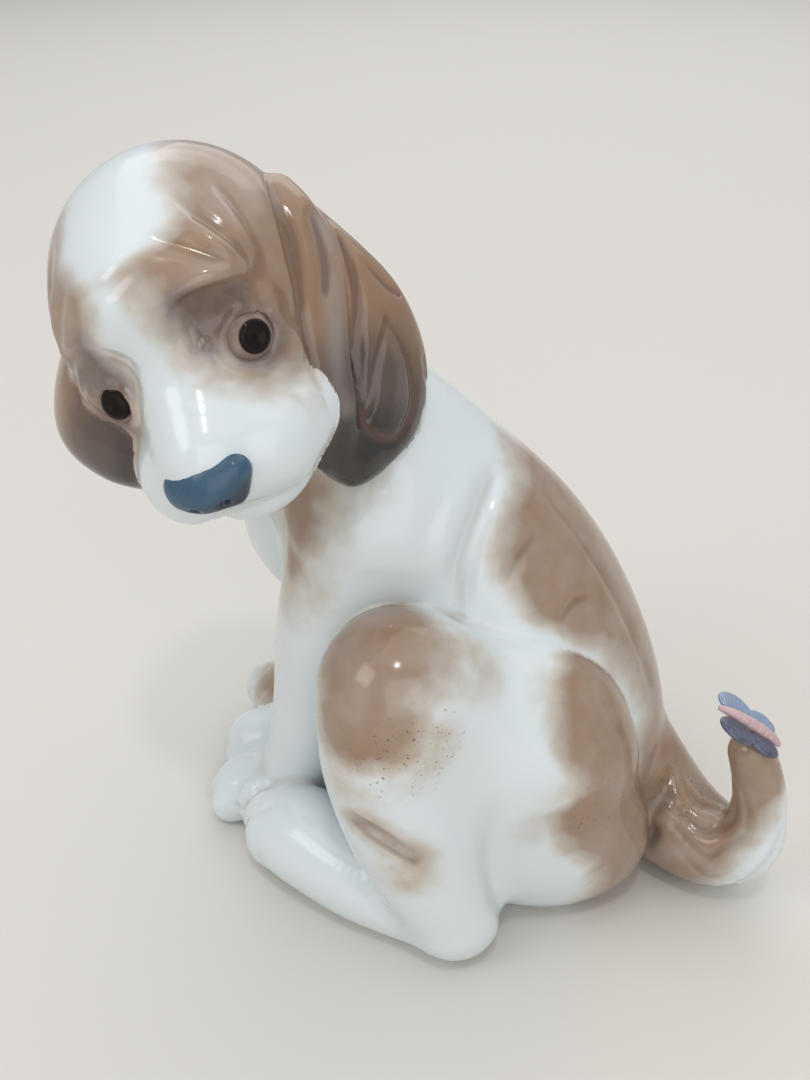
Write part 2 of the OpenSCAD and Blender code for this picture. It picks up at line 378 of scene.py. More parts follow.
def hind_leg(y, dx):
    """Haunch, knee, shin and long hind foot; y is -1 for the left one. dx shifts the knee and the toes."""
    clay = Clay(seat(-95, -60, -6), seat(35, 60, 90))
    ball(clay, seat(-6, 23 * y, 33), (26, 17, 27), 0)
    ball(clay, seat(1, 20 * y, 14), (23, 15, 17), 8)  # seat of the rump
    thigh = [seat(-6, 20 * y, 36), seat(-16, 27 * y, 48), seat(-24 + dx, 34 * y, 57 + dx)]
    limb(clay, thigh, [19, 16, 12.5], k=4, steps=10)
    shin = [seat(-24.5 + dx, 35 * y, 56 + dx), seat(-25 + dx, 37.5 * y, 44), seat(-20 + dx, 39 * y, 26),
            seat(-13 + dx, 40 * y, 10)]
    limb(clay, shin, [12.5, 12.5, 11.5, 9], k=6, steps=10)
    foot = [seat(-13 + dx, 39 * y, 7.5), seat(-30 + 2 * dx, 33 * y, 8.5), seat(-42 + 3 * dx, 26 * y, 10),
            seat(-48 + 3 * dx, 22.5 * y, 9.5)]
    limb(clay, foot, [8, 9, 10, 9], k=3, steps=10)
    for toe in (-5, 0, 5):
        ball(clay, seat(-53 + 3 * dx - toe * 0.5, 20 * y + toe, 8), (5.5, 3.8, 7), 2)
    return clay


def tail():
    """The tail, from the rump round to its raised tip."""
    clay = Clay(seat(8, -36, -6), seat(60, 20, 50))
    rows = [(18, -1, 20, 12), (28, -10, 12, 10.5), (36, -16, 10, 9), (42.5, -20, 14, 7),
            (44, -20.5, 22, 5.6), (42.5, -20.5, 31, 4.8), (40.5, -20.5, 37, 4.3)]
    limb_of_rows(clay, rows, 4)
    return clay


def castings():
    """Every group of forms, with the fillet where it joins those before it."""
    return {
        "torso": (torso(), 0), "head": (head(), 3), "foreleg_left": (foreleg(-1, 0), 6),
        "foreleg_right": (foreleg(1, 1), 6), "hind_leg_left": (hind_leg(-1, 0), 1.5),
        "hind_leg_right": (hind_leg(1, -2.6), 1.5), "tail": (tail(), 2),
        "ear_left": (ear_left(), 1.2), "ear_right": (ear_right(), 1.2),
    }


def model_clay(groups):
    """All the castings as one clay. The ears go on after the head is carved, as they lie over it."""
    whole = Clay(GRID_LOW, GRID_HIGH)
    for name, (clay, fillet) in groups.items():
        if name == "ear_left":
            carve_head(whole)
        join(whole, clay, fillet)
    carve_ears(whole)
    carve_body(whole)
    carve_tail(whole)
    trim_base(whole)
    return whole


# ---------- tooling marks
def circle_on(centre, out, radius):
    """Points of a circle round a direction."""
    across = unit(np.cross(out, [0.3, 0.2, 0.9]))
    return [centre + radius * (math.cos(a) * across + math.sin(a) * np.cross(out, across))
            for a in np.linspace(0, 2 * math.pi, 14)]


def on_side(s):
    """Places points of the head given as forward, outward and up; s is 1 for the left side."""
    def place(forward, out, up):
        return on_head(forward, s * out, up)
    return place


def carve_eye(whole, s):
    """Socket, lids and the folds of skin round one eye; s is 1 for the left eye."""
    h = on_side(s)
    eye = eye_centre(s)
    hood = [h(22.3, 7, 8), h(22, 9, 7.5), h(20.5, 12, 6.2)] if s > 0 else [h(22.5, 6, 7), h(22.5, 8, 5.5)]
    limb(whole, hood, [2.6, 3.2, 2.6][:len(hood)], k=3, hollow=True)
    ball(whole, eye, (EYE_R / UNIT - 0.9,) * 3, 0.4, HEAD_AXES, hollow=True)
    out = unit(np.array([0.8, 0.6 * s, 0.05])) @ HEAD_AXES
    press(whole, circle_on(eye + out * 1.2, out, EYE_R + 0.7), 0.8, -0.9, taper=False)
    carve_list(whole, h, [
        (1.1, 1.7, [(20, 6.5, 9.5), (18.5, 10, 10.3), (16, 14.5, 7.8), (14.5, 17.5, 2.5), (14, 18.5, -2)]),
        (1.6, -1.0, [(19, 8, 12), (16, 13, 10.5), (13.5, 17, 6)]),
        (0.8, 0.8, [(20.8, 8.2, 8.5), (22, 7.2, 5.5), (23.3, 6.2, 2)]),
        (0.9, -0.7, [(21.5, 7, 5), (22.8, 6, 2)]),
        (1.6, -1.0, [(20.5, 10, -5.5), (18.5, 14, -7.5), (16, 17.5, -6.5)]),
        (0.9, 1.1, [(22, 9, -6.5), (19.5, 13.5, -10.5), (16.5, 18, -10), (15, 19.3, -5)]),
    ], 1 if s > 0 else 0.4)


def carve_head(whole):
    """Both eyes, the furrows of the brow, cheek and mouth on each side, and the lines down the middle."""
    for s in (1, -1):
        carve_eye(whole, s)
        carve_list(whole, on_side(s), [
            (1.3, 1.8, [(1.5, 17, 13), (7, 18, 8.5), (11, 18.5, 3.5), (13.5, 18.8, -1), (15, 18.5, -5)]),
            (1.3, 1.6, [(4, 11.5, 18), (9, 15, 13), (11.5, 17, 8.5), (13.5, 18, 3), (14.5, 18.3, -1.3)]),
            (1.4, 0.9, [(12, 8, 17), (13.5, 12.5, 13), (14.5, 15.5, 8.5), (15, 17.5, 3)]),
            (1.2, 1.7, [(-5, 20.5, 5), (0, 21, 3.5), (5.6, 20.8, 0), (10.5, 20, -4.5), (14, 18.5, -9)]),
            (1.6, -0.9, [(4, 17.5, 12), (9, 17.8, 6.5), (12.5, 18.3, 1)]),
            (1.4, -0.8, [(10, 13.5, 15), (13, 15.5, 10.5), (14, 17, 5.5)]),
            (0.8, 2.0, [(37, 0.3, -13.5), (34.5, 4, -16.3), (31.5, 8.5, -18), (27, 12, -18.8),
                        (21, 15, -18)]),
            (1.6, 0.7, [(24.5, 12.8, -5), (22, 14.5, -10), (19.5, 15, -15)]),
        ], 1 if s > 0 else 0.5)
    carve_list(whole, on_head, [
        (1.3, 0.5, [(15.5, -5, 16.5), (17, 0, 15.5), (15.5, 5, 16.5)]),
        (0.7, 0.8, [(38.5, 0, -12), (37.5, 0, -15), (35.5, 0, -18)]),
    ])


EAR_ROOT = [(-1.4, 20.8, 3.2), (2.4, 21, 0.7), (6.5, 20.3, -1.8), (12.7, 18.6, -5.1), (18.5, 17, -10.2),
            (23, 15.5, -15)]


def carve_ears(whole):
    """The line at the root of the near ear, and the folds and locks of hair on its flap."""
    carve_list(whole, on_head, [
        (0.8, 1.0, EAR_ROOT),
        (0.9, 1.5, [(-3, 23.5, -8.5), (2.5, 23.5, -13), (9, 21.5, -17.5), (15, 19, -22), (20, 16, -26)]),
        (1.6, -0.6, [(-2, 23.5, -6), (6, 21.5, -10.5), (13, 19.3, -15), (19, 17, -20.5)]),
        (0.8, 1.0, [(5, 25, -19), (8, 24, -27), (13.5, 21.5, -31.5), (19, 17.5, -30), (19.5, 17, -25)]),
        (0.8, 1.0, [(5, 25, -19), (10.5, 22.5, -21), (16, 20, -23.5), (19.5, 17, -25)]),
        (1.8, -0.7, [(8, 24, -22.5), (12, 22, -27), (16, 19.5, -28)]),
        (0.6, 0.9, [(6, 25, -29), (10, 23.5, -33), (14, 20.5, -35)]),
        (0.6, 0.9, [(9, 24, -33.5), (14, 21, -36)]),
        (0.6, 0.8, [(-1, 25, -13), (2, 25.5, -21), (5, 25, -28)]),
        (0.6, 0.6, [(2, 24, -9), (10, 21, -14), (17, 18.5, -19)]),
        (1.3, 1.6, [(-2.5, 22.5, -1.5), (0, 22.3, -3.5), (4, 21.8, -6), (8, 20.5, -7.5)]),
    ])


def carve_body(whole):
    """Shoulder crease, folds on the back, flank, hock, toes, the root of the tail and the breast."""
    carve_list(whole, seat, [
        (1.7, 2.6, [(-7, -14, 90), (-11, -18, 83), (-14, -21, 75), (-14.5, -24, 66)]),
        (2.2, -0.9, [(-13, -15, 90), (-17, -20, 83), (-19, -23, 75), (-19, -25, 67)]),
        (1.5, 0.5, [(-1, -7, 86), (9, -8, 71), (16.5, -8.5, 55), (22, -9, 41)]),
        (1.2, 0.6, [(-1, -15, 78), (-3.5, -20, 75.5), (-6, -22.5, 71)]),
        (1.0, 0.5, [(4, -20, 63), (7.5, -18, 66), (11, -16, 66)]),
        (1.4, -0.5, [(2, -20, 68), (6, -19, 70), (9, -17, 70)]),
        (2.2, 1.0, [(-7.5, -39, 36), (-7, -41, 26), (-5.5, -41, 14), (-4.5, -38, 4)]),
        (0.7, 1.3, [(-30.5, -49, 39.5), (-25, -50, 37.3), (-19.5, -50, 33)]),
        (0.7, 1.3, [(-29.5, -49, 36.8), (-25, -50, 34.5), (-19, -50, 30.5)]),
        (0.9, -0.8, [(-29, -49, 38), (-25, -50, 36), (-19.5, -50, 32)]),
        (0.7, 0.7, [(-60, -14.5, 7), (-56, -17, 10), (-51, -20, 16)]),
        (0.7, 0.7, [(-59, -20, 6), (-55, -23, 10), (-50, -25.5, 16)]),
        (1.3, 1.3, [(28, -12, 25), (26, -16, 19), (22, -20, 11), (20, -22, 3)]),
        (1.3, -0.7, [(-52, -2, 84), (-46, -8, 76), (-45, -14, 66)]),
    ])


def carve_tail(whole):
    """Locks of hair that follow the curve of the tail."""
    along = [(31, -13, 11), (36, -16, 10), (42.5, -20, 14), (44, -20.5, 22), (42.5, -20.5, 31)]
    side = [(-0.4, 0, 0.9), (-0.4, 0, 0.9), (-0.9, 0, 0.45), (-1, 0, 0.1), (-1, 0, -0.1)]
    radius = [10, 9, 7, 5.6, 4.8]
    wave = [0.5, -0.5, 0.6, -0.4, 0.4]
    for turn in (-70, -35, 0, 35, 70, 105):
        points = []
        for p, q, r, bend in zip(along, side, radius, wave):
            tilt = math.radians(turn) + bend * 0.35
            out = np.array(q) * math.sin(tilt) + np.array([0, -1, 0]) * math.cos(tilt)
            points.append(seat(*(np.array(p) + out * r)))
        press(whole, points, 1.0, 0.75)


def trim_base(whole):
    """The flat base: nothing is left below the table."""
    cut, _, _, z = whole.part(GRID_LOW, GRID_HIGH)
    whole.field[cut] = np.maximum(whole.field[cut], SEAT[2] - z)


# ---------- from clay to meshes
def skin(clay):
    """Surface nets: one vertex in every cell the surface crosses, one quad for every crossed edge."""
    f = clay.field
    inside = f < 0
    n = [s - 1 for s in f.shape]
    count = np.zeros(n, np.uint8)
    corners = [(i, j, k) for i in (0, 1) for j in (0, 1) for k in (0, 1)]
    for i, j, k in corners:
        count += inside[i:i + n[0], j:j + n[1], k:k + n[2]]
    cells = np.flatnonzero((count > 0) & (count < 8))
    ci, cj, ck = np.unravel_index(cells, n)
    value = {c: f[ci + c[0], cj + c[1], ck + c[2]] for c in corners}
    total, hits = np.zeros((len(cells), 3)), np.zeros(len(cells))
    for axis in range(3):
        for c in corners:
            if c[axis]:
                continue
            d = tuple(c[i] + (i == axis) for i in range(3))
            a, b = value[c], value[d]
            cross = (a < 0) != (b < 0)
            t = np.where(cross, a / np.where(cross, a - b, 1), 0)
            for i in range(3):
                total[:, i] += np.where(cross, c[i] + (t if i == axis else 0), 0)
            hits += cross
    points = GRID_LOW + (total / hits[:, None] + np.stack([ci, cj, ck], 1) + clay.start) * clay.step
    number = np.full(np.prod(n), -1, np.int64)
    number[cells] = np.arange(len(cells))
    number = number.reshape(n)
    quads = []
    for axis in range(3):
        u, v = (axis + 1) % 3, (axis + 2) % 3
        low, high = slices_along(axis, slice(0, -1), slice(1, None))
        cross = inside[low] != inside[high]
        e = np.stack(np.nonzero(cross), 1)
        e = e[(e[:, u] > 0) & (e[:, v] > 0) & (e[:, u] < n[u]) & (e[:, v] < n[v])]
        ring = []
        for du, dv in ((1, 1), (0, 1), (0, 0), (1, 0)):
            cell = e.copy()
            cell[:, u] -= du
            cell[:, v] -= dv
            ring.append(number[tuple(cell.T)])
        quad = np.stack(ring, 1)
        out = inside[tuple(e.T)]
        quad[~out] = quad[~out][:, ::-1]
        quads.append(quad)
    return points, np.vstack(quads)


def smooth_skin(clay, points, quads, rounds=3):
    """Evens out the vertices over the surface and lays them back onto it."""
    edges = np.vstack([quads[:, [i, (i + 1) % 4]] for i in range(4)])
    both = np.vstack([edges, edges[:, ::-1]])
    degree = np.bincount(both[:, 0], minlength=len(points))[:, None]
    for _ in range(rounds):
        total = np.stack([np.bincount(both[:, 0], points[both[:, 1], i], len(points)) for i in range(3)], 1)
        move = total / degree - points
        out = facing(clay, points)
        points = points + 0.5 * (move - out * (move * out).sum(1)[:, None])
        points = settle(clay, points, 1)
    return points


def new_object(name, data):
    obj = bpy.data.objects.new(name, data)
    bpy.context.scene.collection.objects.link(obj)
    return obj


def make_mesh(name, points, faces, normals, masks):
    """An object from points in mm and four-sided faces, with its masks."""
    mesh = bpy.data.meshes.new(name)
    mesh.vertices.add(len(points))
    mesh.vertices.foreach_set("co", (points * MM).astype(np.float32).ravel())
    mesh.loops.add(faces.size)
    mesh.loops.foreach_set("vertex_index", faces.astype(np.int32).ravel())
    mesh.polygons.add(len(faces))
    mesh.polygons.foreach_set("loop_start", np.arange(0, faces.size, faces.shape[1], dtype=np.int32))
    mesh.update(calc_edges=True)
    mesh.polygons.foreach_set("use_smooth", np.ones(len(faces), bool))
    mesh.normals_split_custom_set_from_vertices(normals.astype(np.float32))
    for mask, values in masks.items():
        layer = mesh.attributes.new(mask, "FLOAT", "POINT")
        layer.data.foreach_set("value", np.asarray(values, np.float32))
    return new_object(name, mesh)


def slide_to_seams(points, quads, label, apart):
    """Moves the vertices on the border of two castings onto the line midway between them."""
    edge = np.zeros((len(points), 2), int) - 1
    for k in range(4):
        v = quads[:, k]
        edge[v, 0] = np.where(edge[v, 0] < 0, label, edge[v, 0])
        other = (edge[v, 0] != label)
        edge[v[other], 1] = label[other]
    rows = np.flatnonzero(edge[:, 1] >= 0)
    for _ in range(3):
        points[rows] += apart(points[rows], edge[rows])
    return points


def part_skin(groups, whole):
    """Parts the skin into one object for each casting, with shared seams."""
    points, quads = skin(whole)
    points = smooth_skin(whole, points, quads)
    names = list(groups)
    own = np.stack([sample(groups[n][0], points) for n in names], 1)
    label = own[quads].mean(1).argmin(1)

    def apart(at, pair):
        """The step along the surface to where the two castings are equally near."""
        gap, pull = np.zeros(len(at)), np.zeros((len(at), 3))
        for i, name in enumerate(names):
            for column, sign in ((0, 1), (1, -1)):
                mine = pair[:, column] == i
                gap[mine] += sign * sample(groups[name][0], at[mine])
                pull[mine] += sign * slope(groups[name][0], at[mine])
        out = facing(whole, at)
        pull -= out * (pull * out).sum(1)[:, None]
        step = -pull * (gap / np.maximum((pull * pull).sum(1), 0.1))[:, None]
        size = np.maximum(np.linalg.norm(step, axis=1), 1e-6)[:, None]
        return step * np.minimum(1, 0.35 * STEP / size)

    points = slide_to_seams(points, quads, label, apart)
    points = settle(whole, points, 1)
    normals = facing(whole, points)
    nearest = own.argmin(1)
    others = np.stack([np.delete(own, i, 1).min(1) for i in range(len(names))], 1)
    share = smoothstep(-1, 1, others - own)
    masks = paint(points, whole, {n: nearest == i for i, n in enumerate(names)}, dict(zip(names, share.T)))
    made = {}
    for i, name in enumerate(names):
        faces = quads[label == i]
        used, again = np.unique(faces, return_inverse=True)
        here = {mask: values[used] for mask, values in masks.items()}
        made[name] = make_mesh(name + "_cast", points[used], again.reshape(faces.shape), normals[used], here)
    return made


def sculpt(name, lo, hi, step, work, masks_at=None):
    """A small piece with its own finer clay: work(clay) shapes it, and masks_at(points) paints it."""
    clay = Clay(np.array(lo) - 3 * step, np.array(hi) + 3 * step, step)
    work(clay)
    points, quads = skin(clay)
    points = smooth_skin(clay, points, quads, 2)
    return make_mesh(name, points, quads, facing(clay, points), masks_at(points) if masks_at else {})


# ---------- the painted patches
def smoothstep(a, b, v):
    t = np.clip((v - a) / (b - a), 0, 1)
    return t * t * (3 - 2 * t)


def spots(points, rows):
    """How far inside the nearest of several balls each point is, in mm. A row is x, y, z, radius."""
    best = np.full(len(points), -30.0)
    for x, y, z, r in rows:
        best = np.maximum(best, r - np.linalg.norm(points - [x, y, z], axis=1))
    return best


def near_line(points, line):
    """Distance in mm to a smooth line."""
    return -spots(points, [(*p, 0) for p in spline(line, 6)])


def bound(value, rows):
    """A border that runs through rows of (value, place)."""
    rows = np.array(sorted(rows), float)
    return np.interp(value, rows[:, 0], rows[:, 1])


def brown_on_head(f, l, w):
    """The brown halves of the head, either side of the white blaze, down to the white muzzle."""
    pitch = np.degrees(np.arctan2(w, f))
    pitch = np.where(pitch < -90, 180, pitch)
    near = bound(pitch, [(-5, 7.5), (8, 5.4), (34, 4.2), (41, 3.4), (47, 3.8), (54, 9), (70, 11),
                         (100, 10.3), (150, 7), (180, 4)])
    far = bound(pitch, [(-5, 8), (8, 6.5), (34, 6), (41, 4.5), (47, 4.2), (54, 6.5), (70, 9), (100, 9.5),
                        (150, 7), (180, 4)])
    blaze = np.where(l > 0, near, far)
    muzzle = bound(np.abs(l), [(0, 2), (7.8, 0), (10.5, -5), (14, -7.5), (17, -10), (22, -13), (30, -15)])
    cheek = np.where(w < 3, (24.5 - f) * 0.9, 30)
    return np.minimum(np.minimum(np.abs(l) - blaze, cheek), (w - muzzle) * 0.8)


HOCK = [(-29.5, -49, 38.2), (-25, -50, 36), (-19.5, -50, 32)]


def brown_on_body(p, on, share):
    """The brown back, hips, knees, hocks, chest and tail; at the chest also painted shadow of the head. Each
    border is a place along x for a height.
    """
    x, y, z = p.T
    back = bound(z, [(0, 15), (18, 18), (39.5, 21), (47, 18), (55, 12.5), (59.7, 5), (64.5, -3), (71, -7),
                     (76, -8.5), (85, -6), (95, -9), (100, 0)])
    hip = bound(z, [(2, 12), (12, 13), (18, 12), (24, 6.5), (30, 5), (34, 4.5), (37.5, 8.5), (40, 8),
                    (45, 4.5), (50, 3.5), (56, 3), (62, 6)])
    beside = np.stack([x, -np.abs(y), z], 1)
    knee = spots(beside, [(-27, -38, 64, 12.5), (-30, -44, 56, 8.5), (-25, -46, 58, 8)])
    hock = 2.1 - near_line(beside, HOCK)
    # the chest patch: brown paint darkened with painted shadow of the head
    chest = spots(p, [(-44, -19, 88, 8), (-43, -22, 81, 6.5), (-45, -22, 74, 4.5)])
    rim = bound(z, [(4, 35), (12, 39), (22, 43.5), (29, 46.5), (36, 58)])
    patch = np.maximum(chest, np.minimum(x - back, 99 - z))
    leg = np.maximum(np.maximum(knee, hock), x - hip)
    patch = patch + (leg - patch) * (share["hind_leg_left"] + share["hind_leg_right"])
    patch = np.where(on["foreleg_left"], chest, patch)
    foot = spots(p, [(-58, 18, 15, 7), (-50, 24, 18, 7)])
    patch = np.where(on["hind_leg_right"], np.maximum(patch, foot), patch)
    patch = np.where(on["foreleg_right"], -30, patch)
    return np.where(on["tail"], rim - x, patch)


def blurred(clay, reach):
    """The field averaged over a cube of reach mm each way."""
    n = max(int(round(reach / clay.step)), 1)
    field = clay.field
    for axis in range(3):
        room = [(n + 1, n) if i == axis else (0, 0) for i in range(3)]
        total = np.cumsum(np.pad(field, room, "edge"), axis, dtype=np.float64)
        low, high = slices_along(axis, slice(0, -2 * n - 1), slice(2 * n + 1, None))
        field = ((total[high] - total[low]) / (2 * n + 1)).astype(np.float32)
    soft = Clay(GRID_LOW, GRID_HIGH, clay.step)
    soft.field = field
    return soft


def shade_of_ears(points, head, on):
    """How dusky each ear is, from its root to its tip."""
    tip_left = np.linalg.norm(head - [24, 12, -31], axis=1)
    tip_right = np.linalg.norm(points - middle("ear_right") - [12, -10, -12], axis=1)
    shade = np.where(on["ear_left"], 1 - smoothstep(4, 34, tip_left), 0)
    return np.where(on["ear_right"], 1 - smoothstep(4, 34, tip_right), shade)


def pale_on_ear(head, on):
    """A paler band down the near ear."""
    band = near_line(head, [(-2, 23, -3), (3, 22, -6.5), (10, 20.5, -10), (17, 17, -15), (20, 16, -19)])
    return np.where(on["ear_left"], 1 - smoothstep(1.2, 3.6, band), 0)


def painted_shade_places(head, body, both, on):
    """Painted shade: the eye sockets, the root of the tail, the near hock and the line at the near ear's
    root.
    """
    socket = spots(both, [(19.5, 8.5, 10, 4), (20, 10, 7, 5.4), (17.5, 14, 5.5, 4), (21.5, 8, 3.5, 3),
                          (17, 11.5, -2.5, 6.2)])
    root = spots(body, [(26, -15, 20, 4), (23, -19, 13, 4), (21, -21, 6, 3.5)])
    hock = np.where(on["hind_leg_left"], 1.8 - near_line(body, HOCK), -30)
    dark = np.maximum(smoothstep(-1.5, 3.5, socket) * on["head"], smoothstep(-1.5, 3, root))
    dark = np.maximum(dark, 0.55 * smoothstep(-1, 2.5, hock))
    return np.maximum(dark, 0.6 * (1 - smoothstep(0.4, 2.2, near_line(head, EAR_ROOT))))


def ochre_places(head, body, both, on):
    """Ochre stains on the body, across the brow, under the eyes and along the mouth."""
    f, _, w = head.T
    stain = spots(body, [(-30, -24, 92, 6), (-35, -26, 91, 5), (-56, -12.5, 16.5, 3), (-21, -50, 28, 5.5),
                         (40.5, -20, 38.5, 3.5), (28, -15, 21, 5), (-17, -47, 54, 6)])
    stain = smoothstep(-2, 4, stain) * ~on["head"] * ~on["ears"]
    brow = np.abs(np.degrees(np.arctan2(w, f)) - 48)
    lash = near_line(both, [(24, 8, 0.5), (22.5, 11, -6), (20.5, 14, -10.5)])
    line = np.maximum(1 - smoothstep(1, 5, brow), 1 - smoothstep(0.5, 2.2, lash))
    mouth = near_line(both, [(36, 0.3, -13.5), (34, 4, -16.3), (31, 8.5, -18), (26.5, 12, -18.8),
                             (21, 15, -18)])
    stain = np.where(on["head"], 0.6 * line * (f > 0), stain)
    return np.maximum(stain, (1 - smoothstep(0.4, 1.3, mouth)) * on["head"])


def wash_places(body, on):
    """Faint brown washes round the patches of the legs, the chest and the flank; at the chest also painted
    shadow of the head.
    """
    beside = np.stack([body[:, 0], -np.abs(body[:, 1]), body[:, 2]], 1)
    legs = spots(beside, [(-12, -35, 64, 7.5), (-20, -47, 54, 8), (-31, -47, 46, 6), (-20, -50, 29, 5),
                          (8, -35, 38, 6), (2, -37, 31, 4), (4, -30, 56, 5), (0, -20, 66, 4)])
    # round the chest the wash also paints the shadow of the head
    front = spots(body, [(-43, -21, 84, 13), (-43, -22, 70, 9), (10, -24, 4, 7), (18, -20, 5, 8)])
    wash = np.where(on["foreleg_left"] | on["torso"], front, legs)
    return np.where(on["head"] | on["ears"] | on["foreleg_right"], -30, wash)


def paint(points, whole, on, share):
    """The masks that the glazes read, one value for each point.

    on says which casting a point belongs to, and share how much of it, blended across the seams."""
    head = (points - SKULL) @ HEAD_AXES.T / UNIT
    body = (points - SEAT) / UNIT
    f, l, w = head.T
    both = np.stack([f, np.abs(l), w], 1)
    on["ears"] = on["ear_left"] | on["ear_right"]
    brown = np.where(on["head"], brown_on_head(f, l, w), brown_on_body(body, on, share))
    specks = spots(body, [(-19, -47, 54, 8), (-24, -48, 50, 6), (29, -15, 20, 6), (14, -36, 33, 6)])
    # the crease mask: above 0 in creases, below 0 on ridges; the glazes paint shade into the creases and
    # highlight onto the ridges from it
    crease = sample(blurred(whole, 1.4), points)
    return {"brown": np.where(on["ears"], 12, brown), "shade": shade_of_ears(points, head, on),
            "pale": pale_on_ear(head, on), "dark": painted_shade_places(head, body, both, on),
            "ochre": ochre_places(head, body, both, on), "wash": wash_places(body, on),
            "specks": smoothstep(-3, 3, specks), "crease": np.clip(-crease / 0.5, -1, 1)}


# ---------- materials
class Glaze:
    """A principled glaze, with short helpers for the nodes that colour it."""

    def __init__(self, name, roughness, coat=0.15):
        self.material = bpy.data.materials.new(name)
        self.material.use_nodes = True
        self.tree = self.material.node_tree
        self.shader = self.tree.nodes["Principled BSDF"]
        self.shader.inputs["Roughness"].default_value = roughness
        self.shader.inputs["IOR"].default_value = 1.5
        self.shader.inputs["Coat Weight"].default_value = coat
        self.shader.inputs["Coat Roughness"].default_value = 0.03
        self.where = self.tree.nodes.new("ShaderNodeTexCoord").outputs["Object"]

    def plug(self, socket, value):
        """Links a socket to another, or sets it to a constant."""
        if isinstance(value, bpy.types.NodeSocket):
            self.tree.links.new(value, socket)
        else:
            socket.default_value = value

    def mask(self, name):
        """A mask that paint() stored on the mesh."""
        node = self.tree.nodes.new("ShaderNodeAttribute")
        node.attribute_name = name
        return node.outputs["Fac"]

    def math(self, operation, a, b=0.0):
        node = self.tree.nodes.new("ShaderNodeMath")
        node.operation = operation
        self.plug(node.inputs[0], a)
        self.plug(node.inputs[1], b)
        return node.outputs[0]

    def noise(self, size_mm, detail=2.0, stretch=(1, 1, 1)):
        """Noise from -1 to 1 with features of about size_mm."""
        place = self.tree.nodes.new("ShaderNodeMapping")
        self.plug(place.inputs["Vector"], self.where)
        place.inputs["Scale"].default_value = [s * 1000 / size_mm for s in stretch]
        node = self.tree.nodes.new("ShaderNodeTexNoise")
        self.plug(node.inputs["Vector"], place.outputs[0])
        node.inputs["Scale"].default_value = 1.0
        node.inputs["Detail"].default_value = detail
        return self.math("MULTIPLY", self.math("SUBTRACT", node.outputs["Fac"], 0.5), 3.0)

    def step(self, value, low, high, top=1.0):
        """Rises smoothly from 0 to top as value goes from low to high."""
        node = self.tree.nodes.new("ShaderNodeMapRange")
        node.interpolation_type = "SMOOTHSTEP"
        self.plug(node.inputs["Value"], value)
        node.inputs["From Min"].default_value = low
        node.inputs["From Max"].default_value = high
        node.inputs["To Max"].default_value = top
        return node.outputs[0]

    def blend(self, factor, a, b):
        node = self.tree.nodes.new("ShaderNodeMix")
        node.data_type = "RGBA"
        self.plug(node.inputs[0], factor)
        self.plug(node.inputs[6], a)
        self.plug(node.inputs[7], b)
        return node.outputs[2]

    def colour(self, value):
        """Sets the colour and returns the finished material."""
        self.plug(self.shader.inputs["Base Color"], value)
        return self.material


WHITE = (0.69, 0.745, 0.765, 1)
TAUPE = (0.27, 0.168, 0.096, 1)
ROSE = (0.30, 0.188, 0.118, 1)
# the colour of the painted shade in sockets, folds and creases
SHADE_BROWN = (0.115, 0.062, 0.045, 1)
OCHRE = (0.42, 0.29, 0.14, 1)
UMBER = (0.15, 0.08, 0.035, 1)
ASH = (0.085, 0.068, 0.062, 1)
INK = (0.013, 0.014, 0.014, 1)
PALE_ASH = (0.33, 0.30, 0.285, 1)
COOL_WHITE = (0.63, 0.685, 0.70, 1)
SHADE_AND_POOL_WHITE = (0.38, 0.34, 0.26, 1)  # white darkened in creases: painted shade, and the glaze pooling there
# brown darkened in creases: painted shade, and the glaze pooling there
SHADE_AND_POOL_BROWN = (0.20, 0.11, 0.05, 1)
HIGHLIGHT_AND_THIN_BROWN = (0.38, 0.275, 0.205, 1)  # brown lightened on ridges: painted highlight, and the glaze thin there
HALO = (0.46, 0.345, 0.215, 1)  # the soft edge of a brown patch


